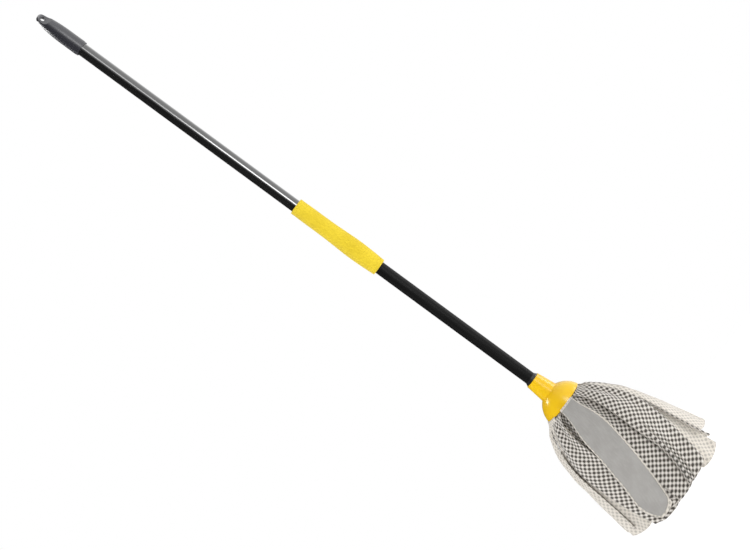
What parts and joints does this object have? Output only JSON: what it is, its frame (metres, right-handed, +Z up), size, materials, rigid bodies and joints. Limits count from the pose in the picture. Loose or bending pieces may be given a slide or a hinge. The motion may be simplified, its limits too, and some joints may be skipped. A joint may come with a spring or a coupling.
{
  "type": "cloth strip mop",
  "caption": "Hanging cloth strip mop: tube handle with hanger cap and foam grip, screw-on bell socket and a skirt of soft strips that splay outward.",
  "frame": {"origin": "centre of the hang hole through the cap's tab, at the top of the handle", "axes": "+Z up along the handle from the strips to the cap, +Y along the hang hole, +X across the tab"},
  "size_m": [0.2318, 0.2318, 1.3417],
  "materials": {
    "cap_plastic": "semi-matte, lightly grained",
    "gloss_black_tube": "glossy black lacquer",
    "satin_black_tube": "satin black plastic coating",
    "inner_plastic": "plain moulded",
    "yellow_foam": "matte closed-cell foam",
    "black_plastic": "satin",
    "yellow_plastic": "glossy moulded",
    "yellow_plastic_satin": "satin moulded",
    "printed_cloth": "soft nonwoven with a printed check",
    "scrub_cloth": "short dense scrub pile"
  },
  "bodies": {
    "mop": {"cloth_hub": "printed_cloth", "foam_grip": "yellow_foam", "hanger_cap": "cap_plastic", "lower_tube": "satin_black_tube", "retainer": "yellow_plastic_satin", "socket": "yellow_plastic", "thread_tip": "black_plastic", "tube_connector": "inner_plastic", "upper_tube": "gloss_black_tube"},
    "outer_strip_1": {"outer_strip_1": "printed_cloth", "scrub_layer_1": "scrub_cloth"},
    "inner_strip_1": {"inner_strip_1": "printed_cloth"},
    "outer_strip_2": {"outer_strip_2": "printed_cloth"},
    "inner_strip_2": {"inner_strip_2": "printed_cloth"},
    "outer_strip_3": {"outer_strip_3": "printed_cloth"},
    "inner_strip_3": {"inner_strip_3": "printed_cloth"},
    "outer_strip_4": {"outer_strip_4": "printed_cloth"},
    "inner_strip_4": {"inner_strip_4": "printed_cloth"},
    "outer_strip_5": {"outer_strip_5": "printed_cloth", "scrub_layer_5": "scrub_cloth"},
    "inner_strip_5": {"inner_strip_5": "printed_cloth"},
    "outer_strip_6": {"outer_strip_6": "printed_cloth"},
    "inner_strip_6": {"inner_strip_6": "printed_cloth"},
    "outer_strip_7": {"outer_strip_7": "printed_cloth"},
    "inner_strip_7": {"inner_strip_7": "printed_cloth"},
    "outer_strip_8": {"outer_strip_8": "printed_cloth"},
    "inner_strip_8": {"inner_strip_8": "printed_cloth"}
  },
  "joints": [
    {"name": "outer_splay_1", "type": "hinge", "parent": "mop", "child": "outer_strip_1", "pos_m": [-0.03058, -0.03396, -1.098], "axis": [-0.7431, 0.6691, 0], "range_deg": [0, 65]},
    {"name": "outer_splay_2", "type": "hinge", "parent": "mop", "child": "outer_strip_2", "pos_m": [0.00239, -0.04564, -1.098], "axis": [-0.9986, -0.0523, 0], "range_deg": [0, 65]},
    {"name": "outer_splay_3", "type": "hinge", "parent": "mop", "child": "outer_strip_3", "pos_m": [0.03396, -0.03058, -1.098], "axis": [-0.6691, -0.7431, 0], "range_deg": [0, 65]},
    {"name": "outer_splay_4", "type": "hinge", "parent": "mop", "child": "outer_strip_4", "pos_m": [0.04564, 0.00239, -1.098], "axis": [0.0523, -0.9986, 0], "range_deg": [0, 65]},
    {"name": "outer_splay_5", "type": "hinge", "parent": "mop", "child": "outer_strip_5", "pos_m": [0.03058, 0.03396, -1.098], "axis": [0.7431, -0.6691, 0], "range_deg": [0, 65]},
    {"name": "outer_splay_6", "type": "hinge", "parent": "mop", "child": "outer_strip_6", "pos_m": [-0.00239, 0.04564, -1.098], "axis": [0.9986, 0.0523, 0], "range_deg": [0, 65]},
    {"name": "outer_splay_7", "type": "hinge", "parent": "mop", "child": "outer_strip_7", "pos_m": [-0.03396, 0.03058, -1.098], "axis": [0.6691, 0.7431, 0], "range_deg": [0, 65]},
    {"name": "outer_splay_8", "type": "hinge", "parent": "mop", "child": "outer_strip_8", "pos_m": [-0.04564, -0.00239, -1.098], "axis": [-0.0523, 0.9986, 0], "range_deg": [0, 65]},
    {"name": "inner_splay_1", "type": "hinge", "parent": "mop", "child": "inner_strip_1", "pos_m": [-0.01275, -0.03601, -1.106], "axis": [-0.9426, 0.3338, 0], "range_deg": [0, 65]},
    {"name": "inner_splay_2", "type": "hinge", "parent": "mop", "child": "inner_strip_2", "pos_m": [0.01645, -0.03448, -1.106], "axis": [-0.9026, -0.4305, 0], "range_deg": [0, 65]},
    {"name": "inner_splay_3", "type": "hinge", "parent": "mop", "child": "inner_strip_3", "pos_m": [0.03601, -0.01275, -1.106], "axis": [-0.3338, -0.9426, 0], "range_deg": [0, 65]},
    {"name": "inner_splay_4", "type": "hinge", "parent": "mop", "child": "inner_strip_4", "pos_m": [0.03448, 0.01645, -1.106], "axis": [0.4305, -0.9026, 0], "range_deg": [0, 65]},
    {"name": "inner_splay_5", "type": "hinge", "parent": "mop", "child": "inner_strip_5", "pos_m": [0.01275, 0.03601, -1.106], "axis": [0.9426, -0.3338, 0], "range_deg": [0, 65]},
    {"name": "inner_splay_6", "type": "hinge", "parent": "mop", "child": "inner_strip_6", "pos_m": [-0.01645, 0.03448, -1.106], "axis": [0.9026, 0.4305, 0], "range_deg": [0, 65]},
    {"name": "inner_splay_7", "type": "hinge", "parent": "mop", "child": "inner_strip_7", "pos_m": [-0.03601, 0.01275, -1.106], "axis": [0.3338, 0.9426, 0], "range_deg": [0, 65]},
    {"name": "inner_splay_8", "type": "hinge", "parent": "mop", "child": "inner_strip_8", "pos_m": [-0.03448, -0.01645, -1.106], "axis": [-0.4305, 0.9026, 0], "range_deg": [0, 65]}
  ],
  "couplings": [
    {"joint": "outer_splay_2", "follows": "outer_splay_1", "ratio": 1},
    {"joint": "outer_splay_3", "follows": "outer_splay_1", "ratio": 1},
    {"joint": "outer_splay_4", "follows": "outer_splay_1", "ratio": 1},
    {"joint": "outer_splay_5", "follows": "outer_splay_1", "ratio": 1},
    {"joint": "outer_splay_6", "follows": "outer_splay_1", "ratio": 1},
    {"joint": "outer_splay_7", "follows": "outer_splay_1", "ratio": 1},
    {"joint": "outer_splay_8", "follows": "outer_splay_1", "ratio": 1},
    {"joint": "inner_splay_1", "follows": "outer_splay_1", "ratio": 1},
    {"joint": "inner_splay_2", "follows": "outer_splay_1", "ratio": 1},
    {"joint": "inner_splay_3", "follows": "outer_splay_1", "ratio": 1},
    {"joint": "inner_splay_4", "follows": "outer_splay_1", "ratio": 1},
    {"joint": "inner_splay_5", "follows": "outer_splay_1", "ratio": 1},
    {"joint": "inner_splay_6", "follows": "outer_splay_1", "ratio": 1},
    {"joint": "inner_splay_7", "follows": "outer_splay_1", "ratio": 1},
    {"joint": "inner_splay_8", "follows": "outer_splay_1", "ratio": 1}
  ]
}
